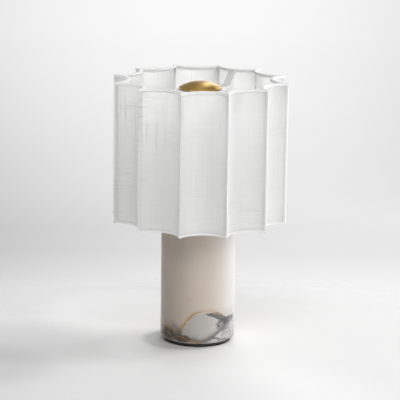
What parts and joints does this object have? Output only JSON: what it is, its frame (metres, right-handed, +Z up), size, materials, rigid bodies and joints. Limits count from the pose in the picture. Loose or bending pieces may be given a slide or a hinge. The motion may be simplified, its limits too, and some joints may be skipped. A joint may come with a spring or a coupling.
{
  "type": "table lamp",
  "caption": "Cordless table lamp: marble column on a dark foot, fluted white fabric shade that lifts off, and a brass dome that presses as the dimmer.",
  "frame": {"origin": "middle of the underside of the foot pad, on the surface it stands on", "axes": "+Z up the column, +Y towards the charging port at the back, -Y towards the viewer, +X to the viewer's right"},
  "size_m": [0.2466, 0.2466, 0.375],
  "materials": {
    "black_rubber": "matte",
    "black_steel": "satin",
    "screw_steel": "satin",
    "insert_brass": "satin",
    "marble": "satin",
    "black_plastic": "matte",
    "cell_wrap": "satin",
    "circuit_board": "satin",
    "port_steel": "satin",
    "wire_jacket": "satin",
    "zinc_steel": "satin",
    "white_metal": "satin",
    "bare_aluminium": "satin",
    "led_board": "satin",
    "opal_plastic": "satin",
    "white_plastic": "satin",
    "spun_brass": "satin",
    "spring_steel": "satin",
    "linen": "matte",
    "white_wire": "satin",
    "binding_tape": "matte"
  },
  "bodies": {
    "column": {"foot_pad": "black_rubber", "base_plate": "black_steel", "base_screws": "screw_steel", "base_inserts": "insert_brass", "marble_column": "marble", "battery_carrier": "black_plastic", "battery_cells": "cell_wrap", "battery_cap": "black_plastic", "carrier_posts": "insert_brass", "carrier_screws": "screw_steel", "control_board": "circuit_board", "board_parts": "black_plastic", "board_screws": "screw_steel", "port_housing": "black_plastic", "port_board": "circuit_board", "charge_port": "port_steel", "port_lead": "wire_jacket", "main_lead": "wire_jacket", "stem_tube": "zinc_steel", "stem_washer": "zinc_steel", "stem_nut": "insert_brass", "column_cap": "white_metal", "heat_sink": "bare_aluminium", "led_strips": "led_board", "diffuser": "opal_plastic", "top_plate": "bare_aluminium", "head_screws": "screw_steel", "head_cap": "white_metal", "switch_board": "circuit_board", "tact_switch": "black_plastic", "guide_bush": "white_plastic", "return_spring": "spring_steel"},
    "dimmer_button": {"dome": "spun_brass", "button_stem": "zinc_steel", "stem_clip": "screw_steel"},
    "shade": {"shade_fabric": "linen", "top_ring": "white_wire", "bottom_ring": "white_wire", "rib_wires": "white_wire", "top_binding": "binding_tape", "bottom_binding": "binding_tape", "spider_arms": "white_metal", "hub_ring": "white_metal", "spider_rivets": "white_metal"}
  },
  "joints": [
    {"name": "dimmer_press", "type": "slide", "parent": "column", "child": "dimmer_button", "axis": [0, 0, 1], "range_m": [-0.0015, 0], "stiffness_N_per_m": 1000, "springref_m": 0.0015, "deforming": ["return_spring"]},
    {"name": "shade_lift", "type": "slide", "parent": "column", "child": "shade", "axis": [0, 0, 1], "range_m": [0, 0.22]}
  ]
}
